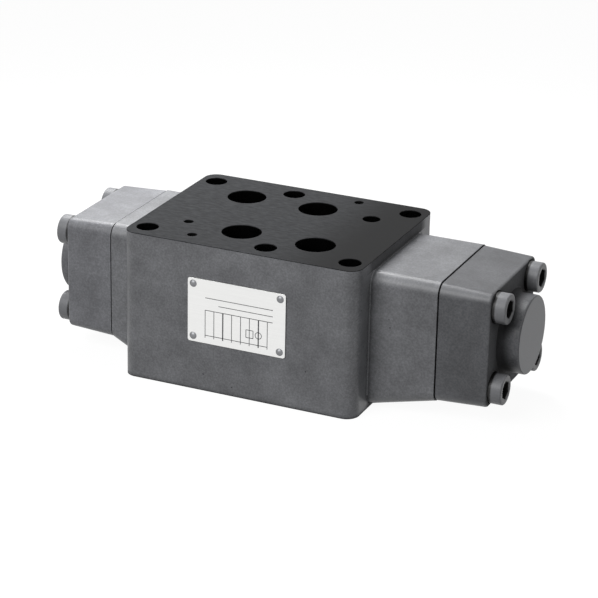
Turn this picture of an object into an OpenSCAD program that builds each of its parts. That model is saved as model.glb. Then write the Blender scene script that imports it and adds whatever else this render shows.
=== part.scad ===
// Double pilot operated check valve, sandwich type, ISO 4401-08 mounting pattern
// Origin on the underside, below the middle of the centre bore; X along the bore, Z up

/* [Mounting pattern] */
// Distance between the corner bolts along X
bolt_spacing_x = 130.2; // [126:0.1:134]
// Distance between the two rows of bolts along Y
bolt_spacing_y = 92.1; // [90:0.1:94]
// Diameter of the six bolt holes
bolt_hole_d = 13.5; // [12.5:0.1:15]
// Step from one main port to the next along X
port_pitch = 23.8; // [23:0.1:25]
// Distance of both rows of main ports from the bore
port_row = 28.55; // [27.5:0.05:30]
// Diameter of the main ports
port_d = 24; // [20:0.2:25]
// Distance of the pilot ports from the bore
pilot_row = 27; // [26:0.1:28]
// Diameter of pilot port X
pilot_x_d = 6; // [4:0.2:8]
// Diameter of pilot port Y
pilot_y_d = 11; // [8:0.2:11.4]
// Diameter of the dowel holes
dowel_d = 6; // [5:0.1:7.5]
// Depth of the dowel holes
dowel_depth = 10; // [6:0.5:14]
// Place of the first dowel hole along X, from the middle of the bolts
dowel_x = 29.4; // [28:0.1:31]
// Place of the first dowel hole along Y
dowel_y = 50.85; // [49:0.05:52]

/* [Body] */
// Length of the block
block_l = 151; // [148:0.5:156]
// Width of the block
block_w = 118; // [114:0.5:124]
// Height of the block
block_h = 92; // [88:0.5:100]
// Radius of the upright edges of the block
block_edge_r = 8; // [3:0.5:12]
// Height of the bore axis above the underside
axis_z = 48.5; // [46.5:0.5:50]
// Distance of both cover joints from the middle of the bore
joint_x = 105; // [102:0.5:112]
// Width of necks and covers
neck_w = 80; // [78:0.5:88]
// Height of necks and covers
neck_h = 74; // [73:0.5:80]
// Radius of the long edges of necks and covers
neck_edge_r = 7.5; // [4:0.5:10]
// Height of the underside of the right neck at the block
right_foot_z = 1.5; // [1.5:0.5:8]
// Height of the underside of the left neck at the block
left_foot_z = 2.5; // [1.5:0.5:8]
// Radius of the cove under a neck at the block
foot_cove_r = 1; // [0.5:0.1:1.5]
// Radius of the cove where the sides and the top of a neck meet the block
neck_cove_r = 2; // [1:0.5:5]

/* [Covers] */
// Thickness of a cover
cover_t = 31.5; // [28:0.5:38]
// How far each side of a cover lies inside its neck
cover_step = 0.5; // [0.2:0.1:1]
// Width of the groove round the joint of a cover
joint_gap = 0.8; // [0.3:0.1:1]
// Depth of the groove round the joint of a cover
joint_depth = 2; // [1:0.5:3]
// How much each side of a cover tapers in
cover_draft = 1.5; // [0.5:0.1:2]
// Rounding of the outer rim of a cover
cover_rim_r = 1.5; // [0.5:0.1:2]
// Diameter of the round boss
boss_d = 47; // [40:0.5:50]
// How far the boss stands out
boss_h = 13; // [8:0.5:18]
// Rounding of the rim of the boss
boss_rim_r = 1; // [0.5:0.1:2]
// Fillet at the foot of the boss
boss_foot_r = 3; // [1:0.5:4]
// Wall at the closed end of the boss
boss_wall = 7; // [5:0.5:10]
// Length of the spigot that enters the body
spigot_l = 8; // [7:0.5:10]

/* [Cover screws] */
// Distance between the screws along Y
screw_spacing_y = 55.2; // [54:0.2:56]
// Distance between the screws along Z
screw_spacing_z = 50; // [49:0.2:51]
// Thread diameter
screw_d = 12; // [10:0.5:12]
// Length under the head
screw_l = 50; // [44:1:54]
// Head diameter
head_d = 18; // [17:0.2:18.6]
// Head height
head_h = 12; // [10:0.5:13]
// Size of the hexagon socket across its flats
socket_af = 10; // [8:0.5:10]
// Depth of the hexagon socket
socket_depth = 6; // [4:0.5:7]
// Depth of the spot faces that the heads sit in
spot_depth = 4; // [2:0.5:6]
// Room round a head in its spot face
spot_gap = 0.6; // [0.3:0.1:0.8]
// Room round a screw in the cover
screw_gap = 0.5; // [0.3:0.1:0.8]
// Free depth of a tapped hole beyond its screw
tap_spare = 4; // [2:0.5:6]

/* [Check valve] */
// Diameter of the centre bore
bore_d = 26; // [22:0.5:27]
// Length of the land of the pilot piston
land_l = 24; // [16:0.5:26]
// Diameter of the push rods
rod_d = 9; // [6:0.5:11]
// Free way of the pilot piston to each poppet
rod_way = 2.5; // [2:0.1:4]
// Distance of both seat rings from the middle of the bore
seat_x = 64; // [63:0.5:67]
// Length of a seat ring
seat_l = 14; // [12:0.5:15]
// Outer diameter of a seat ring
seat_d = 38; // [36:0.5:39]
// Bore of a seat ring
seat_bore_d = 22; // [18:0.5:24]
// Bevel that a poppet closes on
seat_bevel = 1; // [0.5:0.1:1.5]
// Diameter of the chamber round a poppet
chamber_d = 48; // [46:0.5:50]
// Diameter of a poppet
poppet_d = 32; // [30:0.5:34]
// Length of the round skirt of a poppet
skirt_l = 28; // [26:0.5:32]
// Wall of the skirt
skirt_wall = 3.5; // [2.5:0.1:4]
// How far the nose of a poppet reaches into its seat
nose_l = 3; // [2:0.5:5]
// Floor between the cone and the spring
cup_floor = 2; // [1:0.5:4]
// Diameter of the two relief holes in the skirt
relief_d = 2.5; // [1.5:0.1:3]
// Lift of a poppet
lift = 8; // [6:0.5:10]
// Wire of a spring
wire_d = 2.5; // [1.6:0.1:2.8]
// Outer diameter of a spring
spring_d = 23; // [18:0.5:24]
// Turns of a spring
spring_turns = 8; // [6:1:10]

/* [Passages] */
// Diameter of the cross passage from a port to the bore
cross_d = 20; // [14:0.5:21]
// Height of the slanting passages above the underside
passage_z = 19; // [18.5:0.5:20]
// Diameter of the slanting passages
passage_d = 15; // [10:0.5:15]
// Diameter of the risers into the chambers
riser_d = 17; // [15.5:0.5:17]
// Distance of a riser from its seat ring
riser_gap = 1; // [0.5:0.5:2]

/* [Seals] */
// Ring section of the main port seals
port_ring = 3; // [2:0.1:3.5]
// Ring section of the pilot port seals
pilot_ring = 2; // [1.6:0.1:2.4]
// Ring section of the cover seals
cover_ring = 2.6; // [2:0.1:3]
// Ring section of the seat ring seals
seat_ring = 2.4; // [1.8:0.1:2.6]

/* [Nameplate] */
// Width of the plate
plate_w = 63; // [50:0.5:80]
// Height of the plate
plate_h = 40; // [30:0.5:50]
// Thickness of the plate
plate_t = 0.8; // [0.5:0.1:1.5]
// Corner radius of the plate
plate_corner_r = 1.5; // [0.5:0.1:3]
// Height of the middle of the plate above the underside
plate_z = 51; // [40:0.5:60]
// Distance of the rivets from the edges of the plate
rivet_inset = 3.5; // [3:0.1:6]
// Shank of a rivet
rivet_d = 2.4; // [2:0.1:3]
// Length of a rivet below the plate
rivet_l = 6; // [4:0.5:8]
// Head of a rivet
rivet_head_d = 4.6; // [4:0.1:6]
// Height of the head of a rivet
rivet_head_h = 1.1; // [0.8:0.1:1.6]

/* [Fits] */
// Running clearance on the radius of piston and poppets
run_gap = 0.03; // [0.01:0.01:0.1]
// Clearance on the radius of seat rings, spigots, threads and rivets
seat_gap = 0.05; // [0.02:0.01:0.1]
// Room of a seal in its groove
ring_gap = 0.05; // [0.02:0.01:0.1]

/* [Hidden] */
$fn = 96;
arc_steps = 6;
cut = 1;

// Finishes
iron = [0.40, 0.41, 0.42];
cover_iron = [0.46, 0.47, 0.48];
steel = [0.62, 0.63, 0.65];
spring_steel = [0.45, 0.46, 0.48];
dark_steel = [0.30, 0.30, 0.31];
sheet = [0.86, 0.87, 0.88];
rubber = [0.08, 0.08, 0.09];

// The bolts lie half a port step to the left of the middle of the bore
pattern_x = -port_pitch / 2;
bolts = [
    for (sx = [-1, 1], sy = [-1, 1]) [pattern_x + sx * bolt_spacing_x / 2, sy * bolt_spacing_y / 2],
    [pattern_x - port_pitch / 2, bolt_spacing_y / 2],
    [pattern_x + port_pitch / 2, -bolt_spacing_y / 2]
];
dowels = [
    [pattern_x + dowel_x, dowel_y],
    [pattern_x - 1.5 * port_pitch, -bolt_spacing_y / 2]
];
port_p = [0, port_row];
port_t = [-2 * port_pitch, port_row];
port_a = [-port_pitch, -port_row];
port_b = [port_pitch, -port_row];
pilot_x = [pattern_x - 2 * port_pitch, -pilot_row];
pilot_y = [pattern_x + 2 * port_pitch, pilot_row];

// Width of the seats of the face seals in the underside, with room inside each ring
port_seal_room = 1;
pilot_seal_room = 1.5;
port_seal_w = port_ring + port_seal_room;
pilot_seal_w = pilot_ring + pilot_seal_room;

// Ends of the block
block_right = pattern_x + block_l / 2;
block_left = block_l / 2 - pattern_x;
neck_bottom = axis_z - neck_h / 2;
neck_top = axis_z + neck_h / 2;
neck_root = 1;
neck_facets = 64;
slice = 0.1;
cove_sink = 0.3;

// Stations along the bore, all on the right-hand side
seat_face = seat_x + seat_l;
cone_start = seat_face - seat_bevel;
nose_x = cone_start - nose_l;
cone_end = cone_start + poppet_d / 2 - seat_bore_d / 2;
tail_x = cone_end + skirt_l;
cup_x = cone_end + cup_floor;
stop_x = tail_x + lift + seat_gap;
cover_end = joint_x + cover_t;
boss_end = cover_end + boss_h;
spring_end = boss_end - boss_wall;
spring_room = 0.7;
riser_x = seat_face + riser_gap + riser_d / 2;
rod_end = nose_x - rod_way;

// Screws of one cover
screw_places = [for (sy = [-1, 1], sz = [-1, 1]) [sy * screw_spacing_y / 2, sz * screw_spacing_z / 2]];
head_seat = cover_end - spot_depth;
head_edge = 0.8;
socket_corner_d = socket_af / cos(30);

// Grooves of the round seals, each a little wider than its ring
groove_w = 1.3;
spigot_d = chamber_d - 2 * seat_gap;
cover_groove_d = spigot_d - 2 * (cover_ring + ring_gap);
cover_groove_x = joint_x - spigot_l / 2;
seat_groove_d = seat_d - 2 * (seat_ring + ring_gap);
seat_groove_x = seat_x + seat_l / 2;

// Details of the piston
land_groove = 0.6;
land_edge = 0.5;
rod_edge = 0.8;

rivet_places = [
    for (sx = [-1, 1], sz = [-1, 1])
        [pattern_x + sx * (plate_w / 2 - rivet_inset), plate_z + sz * (plate_h / 2 - rivet_inset)]
];

// Points of an arc about c, from angle a to angle b
function arc(c, r, a, b) = [
    for (i = [0:arc_steps])
        let (t = a + (b - a) * i / arc_steps)
        c + r * [cos(t), sin(t)]
];

// Flat shape with rounded corners, centred
module rounded(size, r) {
    square([size.x, size.y - 2 * r], center = true);
    square([size.x - 2 * r, size.y], center = true);
    for (sx = [-1, 1], sy = [-1, 1])
        translate([sx * (size.x / 2 - r), sy * (size.y / 2 - r)])
            circle(r);
}

// Solid of revolution about the bore axis, from points [radius, place along X]
module turned(profile) {
    translate([0, 0, axis_z])
        rotate([0, 90, 0])
            rotate_extrude()
                polygon(profile);
}

// Round rod or hole on the bore axis
module round_bar(d, from, to) {
    translate([from, 0, axis_z])
        rotate([0, 90, 0])
            cylinder(d = d, h = to - from);
}

// O-ring about the bore axis, in a groove with floor diameter d
module axial_ring(d, section, x) {
    translate([x, 0, axis_z])
        rotate([0, 90, 0])
            ring(d / 2 + ring_gap / 2 + section / 2, section);
}

module ring(r, section) {
    rotate_extrude()
        translate([r, 0])
            circle(d = section);
}

// Hole with a round cored end
module cored(d, l) {
    rotate_extrude()
        polygon(concat([[0, 0], [d / 2, 0]], arc([0, l], d / 2, 0, 90)));
}

// Puts a right-hand piece on its side: 1 right, -1 left
module on_side(side) {
    if (side > 0) children();
    else mirror([1, 0, 0]) children();
}

// Thin slice of a neck at x, down to its bottom there
module neck_slice(x, bottom) {
    translate([x, 0, (bottom + neck_top) / 2])
        rotate([90, 0, 90])
            linear_extrude(slice)
                rounded([neck_w, neck_top - bottom], neck_edge_r, $fn = neck_facets);
}

// Neck from the block to the cover joint, with an underside that falls to foot_z at the block
module neck(block_end, foot_z) {
    slope = (neck_bottom - foot_z) / (joint_x - block_end);
    hull() {
        neck_slice(joint_x - slice, neck_bottom);
        neck_slice(block_end - neck_root, foot_z - slope * neck_root);
    }
    translate([block_end, 0, 0]) {
        neck_coves(foot_z);
        translate([0, 0, foot_z])
            mirror([0, 0, 1])
                cove_bar(foot_cove_r);
    }
}

// Section of a cove of radius r, from points [out from the neck, along X from the block]
module cove_section(r, out = 0) {
    c = r - cove_sink;
    inside = -cove_sink - neck_root;
    translate([out, 0])
        polygon(concat([[inside, inside], [c, inside]], arc([c, c], r, 270, 180), [[inside, c]]));
}

// Cove across the flat part of a neck, upwards from its surface
module cove_bar(r) {
    rotate([90, 0, 0])
        linear_extrude(neck_w - 2 * neck_edge_r, center = true)
            mirror([1, -1])
                cove_section(r);
}

// Coves along both sides and the top of a neck with its underside at foot_z
module neck_coves(foot_z) {
    lower_z = foot_z + neck_edge_r;
    upper_z = neck_top - neck_edge_r;
    translate([0, 0, neck_top])
        cove_bar(neck_cove_r);
    for (side = [0, 1])
        mirror([0, side, 0]) {
            translate([0, 0, lower_z])
                linear_extrude(upper_z - lower_z)
                    mirror([1, -1])
                        cove_section(neck_cove_r, neck_w / 2);
            translate([0, neck_w / 2 - neck_edge_r, upper_z])
                rotate([0, 90, 0])
                    rotate([0, 0, 90])
                        rotate_extrude(angle = 90)
                            cove_section(neck_cove_r, neck_edge_r);
        }
}

// Block with rounded long edges along X, whose sides follow a profile of points [outwards, along X]
module round_edged(w, h, r, side) {
    last = len(side) - 1;
    half_side = function (half) [for (p = side) [p.y, half + p.x]];
    half_mirror = function (half) [for (i = [last:-1:0]) [side[i].y, -half - side[i].x]];
    linear_extrude(h - 2 * r, center = true)
        polygon(concat(half_side(w / 2), half_mirror(w / 2)));
    rotate([90, 0, 0])
        linear_extrude(w - 2 * r, center = true)
            polygon(concat(half_side(h / 2), half_mirror(h / 2)));
    for (sy = [-1, 1], sz = [-1, 1])
        translate([0, sy * (w / 2 - r), sz * (h / 2 - r)])
            rotate([0, 90, 0])
                rotate_extrude()
                    polygon(concat([[0, 0]], [for (p = side) [r + p.x, p.y]], [[0, side[last].y]]));
}

// Cored and bored spaces of one side of the valve
module flow_space() {
    port = [port_pitch, -port_row];
    slant = [riser_x - port.x, port_row];
    translate([port.x, port.y, axis_z - port_d / 2])
        cylinder(d = port_d, h = block_h + cut - axis_z + port_d / 2);
    translate([port.x, port.y, -cut])
        cored(port_d, passage_z + cut);
    translate([port.x, port.y, axis_z])
        rotate([-90, 0, 0])
            cylinder(d = cross_d, h = port_row);
    translate([port.x, port.y, passage_z])
        rotate([0, 0, atan2(slant.y, slant.x)])
            rotate([0, 90, 0])
                cylinder(d = passage_d, h = norm(slant));
    translate([riser_x, 0, axis_z])
        mirror([0, 0, 1])
            cored(riser_d, axis_z - passage_z);
    round_bar(seat_d + 2 * seat_gap, seat_x, seat_face);
    round_bar(chamber_d, seat_face, joint_x + cut);
    for (p = screw_places)
        translate([head_seat - screw_l - tap_spare, p.x, axis_z + p.y])
            rotate([0, 90, 0])
                cylinder(d = screw_d + 2 * seat_gap, h = screw_l + tap_spare);
}

// Face seal seat in the underside, round a port of diameter d
module seal_seat(place, d, width, section) {
    translate([place.x, place.y, -cut])
        cylinder(d = d + 2 * width, h = section + 2 * ring_gap + cut);
}

module through_hole(place, d) {
    translate([place.x, place.y, -cut])
        cylinder(d = d, h = block_h + 2 * cut);
}

module rivet_place(p, depth) {
    translate([p.x, -block_w / 2 - depth, p.y])
        rotate([-90, 0, 0])
            children();
}

module valve_body() {
    color(iron)
    difference() {
        union() {
            translate([pattern_x, 0, 0])
                linear_extrude(block_h)
                    rounded([block_l, block_w], block_edge_r);
            neck(block_right, right_foot_z);
            mirror([1, 0, 0])
                neck(block_left, left_foot_z);
        }
        for (p = bolts) through_hole(p, bolt_hole_d);
        for (p = [port_p, port_t]) through_hole(p, port_d);
        through_hole(pilot_x, pilot_x_d);
        through_hole(pilot_y, pilot_y_d);
        for (p = dowels, z = [-cut, block_h - dowel_depth])
            translate([p.x, p.y, z])
                cylinder(d = dowel_d, h = dowel_depth + cut);
        round_bar(bore_d, -seat_x - cut, seat_x + cut);
        for (side = [-1, 1]) on_side(side) flow_space();
        for (p = [port_p, port_t, port_a, port_b]) seal_seat(p, port_d, port_seal_w, port_ring);
        seal_seat(pilot_x, pilot_x_d, pilot_seal_w, pilot_ring);
        seal_seat(pilot_y, pilot_y_d, pilot_seal_w, pilot_ring);
        for (p = rivet_places)
            rivet_place(p, cut)
                cylinder(d = rivet_d + 2 * seat_gap, h = rivet_l + 2 * cut);
    }
}

// Cover of the right-hand side
module cover() {
    boss_r = boss_d / 2;
    foot = arc([boss_r + boss_foot_r, cover_end + boss_foot_r], boss_foot_r, 270, 180);
    rim = arc([boss_r - boss_rim_r, boss_end - boss_rim_r], boss_rim_r, 0, 90);
    spigot_start = joint_x - spigot_l;
    rim_x = cover_t - cover_rim_r;
    rim_side = -cover_draft * rim_x / cover_t;
    side = concat([[-joint_depth, 0], [-joint_depth, joint_gap], [0, joint_gap], [rim_side, rim_x]],
        arc([rim_side - cover_rim_r, rim_x], cover_rim_r, 0, 90));
    color(cover_iron)
    difference() {
        union() {
            translate([joint_x, 0, axis_z])
                round_edged(neck_w - 2 * cover_step, neck_h - 2 * cover_step, neck_edge_r - cover_step, side);
            turned(concat([[0, cover_end - cut], [boss_r + boss_foot_r, cover_end - cut]], foot, rim,
                [[0, boss_end]]));
            round_bar(spigot_d, spigot_start, joint_x + cut);
        }
        turned([
            [cover_groove_d / 2, cover_groove_x - cover_ring * groove_w / 2],
            [chamber_d, cover_groove_x - cover_ring * groove_w / 2],
            [chamber_d, cover_groove_x + cover_ring * groove_w / 2],
            [cover_groove_d / 2, cover_groove_x + cover_ring * groove_w / 2]
        ]);
        round_bar(poppet_d + 2 * run_gap, spigot_start - cut, stop_x);
        round_bar(spring_d + 2 * spring_room, stop_x - cut, spring_end);
        for (p = screw_places)
            translate([joint_x - cut, p.x, axis_z + p.y])
                rotate([0, 90, 0]) {
                    cylinder(d = screw_d + 2 * screw_gap, h = cover_t + 2 * cut);
                    translate([0, 0, head_seat - joint_x + cut])
                        cylinder(d = head_d + 2 * spot_gap, h = boss_h);
                }
    }
}

module left_cover() { on_side(-1) cover(); }
module right_cover() { on_side(1) cover(); }

// Socket head cap screw, head seat at the origin, shank towards -Z
module cap_screw() {
    difference() {
        rotate_extrude()
            polygon([
                [0, -screw_l], [screw_d / 2 - head_edge, -screw_l], [screw_d / 2, head_edge - screw_l],
                [screw_d / 2, 0], [head_d / 2, 0], [head_d / 2, head_h - head_edge],
                [head_d / 2 - head_edge, head_h], [0, head_h]
            ]);
        translate([0, 0, head_h - socket_depth])
            cylinder(d = socket_corner_d, h = socket_depth + cut, $fn = 6);
    }
}

module cover_screws() {
    color(dark_steel)
    for (p = screw_places)
        translate([head_seat, p.x, axis_z + p.y])
            rotate([0, 90, 0])
                cap_screw();
}

module left_cover_screws() { on_side(-1) cover_screws(); }
module right_cover_screws() { on_side(1) cover_screws(); }

module cover_o_ring() { color(rubber) axial_ring(cover_groove_d, cover_ring, cover_groove_x); }
module left_cover_o_ring() { on_side(-1) cover_o_ring(); }
module right_cover_o_ring() { on_side(1) cover_o_ring(); }

// Pilot piston: a grooved land between two push rods
module pilot_piston() {
    land_r = bore_d / 2 - run_gap;
    grooves = [
        for (x = [-1, 0, 1] * land_l / 4, p = [[land_r, -1], [land_r - land_groove, -1],
            [land_r - land_groove, 1], [land_r, 1]])
            [p.x, x + p.y * land_groove]
    ];
    color(steel)
    turned(concat(
        [[0, -rod_end], [rod_d / 2 - rod_edge, -rod_end], [rod_d / 2, rod_edge - rod_end],
            [rod_d / 2, -land_l / 2], [land_r - land_edge, -land_l / 2], [land_r, land_edge - land_l / 2]],
        grooves,
        [[land_r, land_l / 2 - land_edge], [land_r - land_edge, land_l / 2], [rod_d / 2, land_l / 2],
            [rod_d / 2, rod_end - rod_edge], [rod_d / 2 - rod_edge, rod_end], [0, rod_end]]
    ));
}

// Seat ring of the right-hand side, with a bevel for the poppet and a groove for its seal
module seat() {
    half_groove = seat_ring * groove_w / 2;
    color(steel)
    turned([
        [seat_bore_d / 2, seat_x],
        [seat_d / 2, seat_x],
        [seat_d / 2, seat_groove_x - half_groove],
        [seat_groove_d / 2, seat_groove_x - half_groove],
        [seat_groove_d / 2, seat_groove_x + half_groove],
        [seat_d / 2, seat_groove_x + half_groove],
        [seat_d / 2, seat_face],
        [seat_bore_d / 2 + seat_bevel, seat_face],
        [seat_bore_d / 2, cone_start]
    ]);
}

module left_seat() { on_side(-1) seat(); }
module right_seat() { on_side(1) seat(); }

module seat_o_ring() { color(rubber) axial_ring(seat_groove_d, seat_ring, seat_groove_x); }
module left_seat_o_ring() { on_side(-1) seat_o_ring(); }
module right_seat_o_ring() { on_side(1) seat_o_ring(); }

// Poppet of the right-hand side: blunt cone, round skirt and a cup for the spring
module poppet() {
    nose_r = seat_bore_d / 2 - nose_l;
    cup_r = poppet_d / 2 - skirt_wall;
    color(steel)
    difference() {
        turned([
            [0, nose_x], [nose_r - seat_gap, nose_x], [poppet_d / 2 - seat_gap, cone_end],
            [poppet_d / 2, cone_end + seat_gap], [poppet_d / 2, tail_x], [cup_r, tail_x],
            [cup_r, cup_x], [0, cup_x]
        ]);
        translate([cup_x + relief_d, 0, axis_z])
            rotate([90, 0, 0])
                cylinder(d = relief_d, h = poppet_d + cut, center = true);
    }
}

module left_poppet() { on_side(-1) poppet(); }
module right_poppet() { on_side(1) poppet(); }

// Closing spring of the right-hand side, a wire swept along a helix with closed end turns
module spring() {
    sides = 8;
    steps = 16;
    count = steps * spring_turns;
    coil_r = (spring_d - wire_d) / 2;
    start = cup_x + wire_d / 2 + ring_gap;
    travel = spring_end - wire_d / 2 - ring_gap - start;
    lead = (travel - 2 * wire_d) / (spring_turns - 2);
    along = function (turn)
        min(turn, 1) * wire_d + max(0, min(turn - 1, spring_turns - 2)) * lead
            + max(0, turn - spring_turns + 1) * wire_d;
    points = [
        for (i = [0:count], j = [0:sides - 1])
            let (a = 360 * i / steps, b = 360 * j / sides, r = coil_r + cos(b) * wire_d / 2)
            [start + along(i / steps) + sin(b) * wire_d / 2, r * cos(a), axis_z + r * sin(a)]
    ];
    walls = [
        for (i = [0:count - 1], j = [0:sides - 1])
            let (k = (j + 1) % sides)
            [i * sides + j, i * sides + k, (i + 1) * sides + k, (i + 1) * sides + j]
    ];
    ends = [[for (j = [sides - 1:-1:0]) j], [for (j = [0:sides - 1]) count * sides + j]];
    color(spring_steel)
    polyhedron(points, concat(walls, ends));
}

module left_spring() { on_side(-1) spring(); }
module right_spring() { on_side(1) spring(); }

// Face seal that lies in its seat in the underside
module face_seal(place, d, width, section) {
    color(rubber)
    translate([place.x, place.y, ring_gap + section / 2])
        ring(d / 2 + width - ring_gap - section / 2, section);
}

module p_port_o_ring() { face_seal(port_p, port_d, port_seal_w, port_ring); }
module t_port_o_ring() { face_seal(port_t, port_d, port_seal_w, port_ring); }
module a_port_o_ring() { face_seal(port_a, port_d, port_seal_w, port_ring); }
module b_port_o_ring() { face_seal(port_b, port_d, port_seal_w, port_ring); }
module x_port_o_ring() { face_seal(pilot_x, pilot_x_d, pilot_seal_w, pilot_ring); }
module y_port_o_ring() { face_seal(pilot_y, pilot_y_d, pilot_seal_w, pilot_ring); }

module nameplate() {
    color(sheet)
    difference() {
        translate([pattern_x, -block_w / 2, plate_z])
            rotate([90, 0, 0])
                linear_extrude(plate_t)
                    rounded([plate_w, plate_h], plate_corner_r);
        for (p = rivet_places)
            rivet_place(p, plate_t + cut)
                cylinder(d = rivet_d + 2 * seat_gap, h = plate_t + 2 * cut);
    }
}

module nameplate_rivets() {
    dome_r = (rivet_head_h * rivet_head_h + rivet_head_d * rivet_head_d / 4) / (2 * rivet_head_h);
    dome_edge = 90 - asin(rivet_head_d / 2 / dome_r);
    dome = arc([0, dome_r - rivet_head_h], dome_r, -dome_edge, -90);
    color(sheet)
    for (p = rivet_places)
        rivet_place(p, plate_t)
            rotate_extrude()
                polygon(concat([[0, rivet_l], [rivet_d / 2, rivet_l], [rivet_d / 2, 0]], dome));
}

valve_body();
left_cover();
right_cover();
left_cover_screws();
right_cover_screws();
left_cover_o_ring();
right_cover_o_ring();
pilot_piston();
left_seat();
right_seat();
left_seat_o_ring();
right_seat_o_ring();
left_poppet();
right_poppet();
left_spring();
right_spring();
p_port_o_ring();
t_port_o_ring();
a_port_o_ring();
b_port_o_ring();
x_port_o_ring();
y_port_o_ring();
nameplate();
nameplate_rivets();
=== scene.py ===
import bmesh
import bpy
import numpy as np
from mathutils import Matrix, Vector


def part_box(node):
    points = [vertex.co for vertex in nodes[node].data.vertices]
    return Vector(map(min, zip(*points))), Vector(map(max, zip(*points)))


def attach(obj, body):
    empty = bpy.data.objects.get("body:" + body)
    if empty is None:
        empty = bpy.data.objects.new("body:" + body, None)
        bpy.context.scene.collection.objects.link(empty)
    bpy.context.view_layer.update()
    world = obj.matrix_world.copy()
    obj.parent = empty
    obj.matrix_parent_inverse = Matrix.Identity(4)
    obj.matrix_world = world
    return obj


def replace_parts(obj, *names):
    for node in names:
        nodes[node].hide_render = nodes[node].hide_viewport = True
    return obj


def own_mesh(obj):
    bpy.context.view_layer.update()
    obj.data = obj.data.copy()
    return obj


mm = 0.001
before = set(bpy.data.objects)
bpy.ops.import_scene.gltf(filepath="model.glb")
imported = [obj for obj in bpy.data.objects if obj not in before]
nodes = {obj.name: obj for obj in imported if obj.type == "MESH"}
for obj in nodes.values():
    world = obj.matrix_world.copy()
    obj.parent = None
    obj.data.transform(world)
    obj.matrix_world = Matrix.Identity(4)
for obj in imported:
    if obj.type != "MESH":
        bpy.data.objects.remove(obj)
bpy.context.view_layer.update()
scene = bpy.context.scene
scene.view_settings.view_transform = "Standard"


# sRGB to linear: a straight part near black, then (share + 0.055) / 1.055 to the power 2.4
def linearColour(hexText):
    shares = [int(hexText[start:start + 2], 16) / 255 for start in (1, 3, 5)]
    linear = [share / 12.92 if share <= 0.04045 else ((share + 0.055) / 1.055) ** 2.4 for share in shares]
    return (*linear, 1.0)


# one node: settings are its own properties, inputs are values or the sockets it is linked from
def addNode(tree, kind, inputs=None, **settings):
    made = tree.nodes.new(kind)
    for key, value in settings.items():
        setattr(made, key, value)
    for key, value in (inputs or {}).items():
        if isinstance(value, bpy.types.NodeSocket):
            tree.links.new(value, made.inputs[key])
        else:
            made.inputs[key].default_value = value
    return made


def emptyMaterial(name):
    made = bpy.data.materials.new(name)
    made.use_nodes = True
    made.node_tree.nodes.clear()
    return made, made.node_tree


# turn and place of a camera or lamp, from its three axes and its place in millimetres
def turnAndPlace(sideways, upwards, backwards, place):
    turn = np.eye(4)
    turn[:3] = np.stack([sideways, upwards, backwards, np.array(place, float) * mm], 1)
    return Matrix(turn.tolist())


# camera at the place that the block's corners, bolt holes and covers give for the photograph
cameraPlace = {
    "eye": (552.174, -1239.002, 587.378),
    "forward": (-0.3770732, 0.8481396, -0.3721222),
    "right": (0.9104217, 0.413225, 0.0192844),
    "lens": 146.058, "sensor": 36,  # mm
    "clipEnd": 50,  # metres
}
forward = np.array(cameraPlace["forward"])
right = np.array(cameraPlace["right"])
cameraData = bpy.data.cameras.new("photoCamera")
cameraData.sensor_width = cameraPlace["sensor"]
cameraData.lens = cameraPlace["lens"]
cameraData.clip_end = cameraPlace["clipEnd"]
camera = bpy.data.objects.new("photoCamera", cameraData)
camera.matrix_world = turnAndPlace(right, np.cross(right, forward), -forward, cameraPlace["eye"])
scene.collection.objects.link(camera)
scene.camera = camera
print("camera set")


# a mesh from an array of points and an array of quads, merged where points meet, faces outwards
def meshPiece(name, points, quads, material, sharpAngle=0.6):
    mesh = bpy.data.meshes.new(name)
    corners = np.ascontiguousarray(quads, dtype=np.int32).reshape(-1, 4)
    mesh.vertices.add(len(points))
    mesh.vertices.foreach_set("co", np.ascontiguousarray(points, dtype=np.float32).ravel())
    mesh.loops.add(corners.size)
    mesh.loops.foreach_set("vertex_index", corners.ravel())
    mesh.polygons.add(len(corners))
    mesh.polygons.foreach_set("loop_start", np.arange(0, corners.size, 4, dtype=np.int32))
    mesh.update(calc_edges=True)
    shape = bmesh.new()
    shape.from_mesh(mesh)
    bmesh.ops.remove_doubles(shape, verts=shape.verts, dist=0.001 * mm)
    bmesh.ops.recalc_face_normals(shape, faces=shape.faces)
    shape.to_mesh(mesh)
    shape.free()
    mesh.polygons.foreach_set("use_smooth", np.ones(len(mesh.polygons), dtype=bool))
    mesh.set_sharp_from_angle(angle=sharpAngle)  # radians
    mesh.materials.append(material)
    piece = bpy.data.objects.new(name, mesh)
    scene.collection.objects.link(piece)
    return piece


# quads of a grid of rows by columns; a closed direction joins its last line to its first
def gridQuads(rows, columns, closedRows=False, closedColumns=False):
    index = np.arange(rows * columns).reshape(rows, columns)
    below = np.roll(index, -1, 0)
    lastRow = rows if closedRows else rows - 1
    lastColumn = columns if closedColumns else columns - 1
    across = np.stack([index, below, np.roll(below, -1, 1), np.roll(index, -1, 1)], -1)
    return across[:lastRow, :lastColumn].reshape(-1, 4)


# materials

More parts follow.
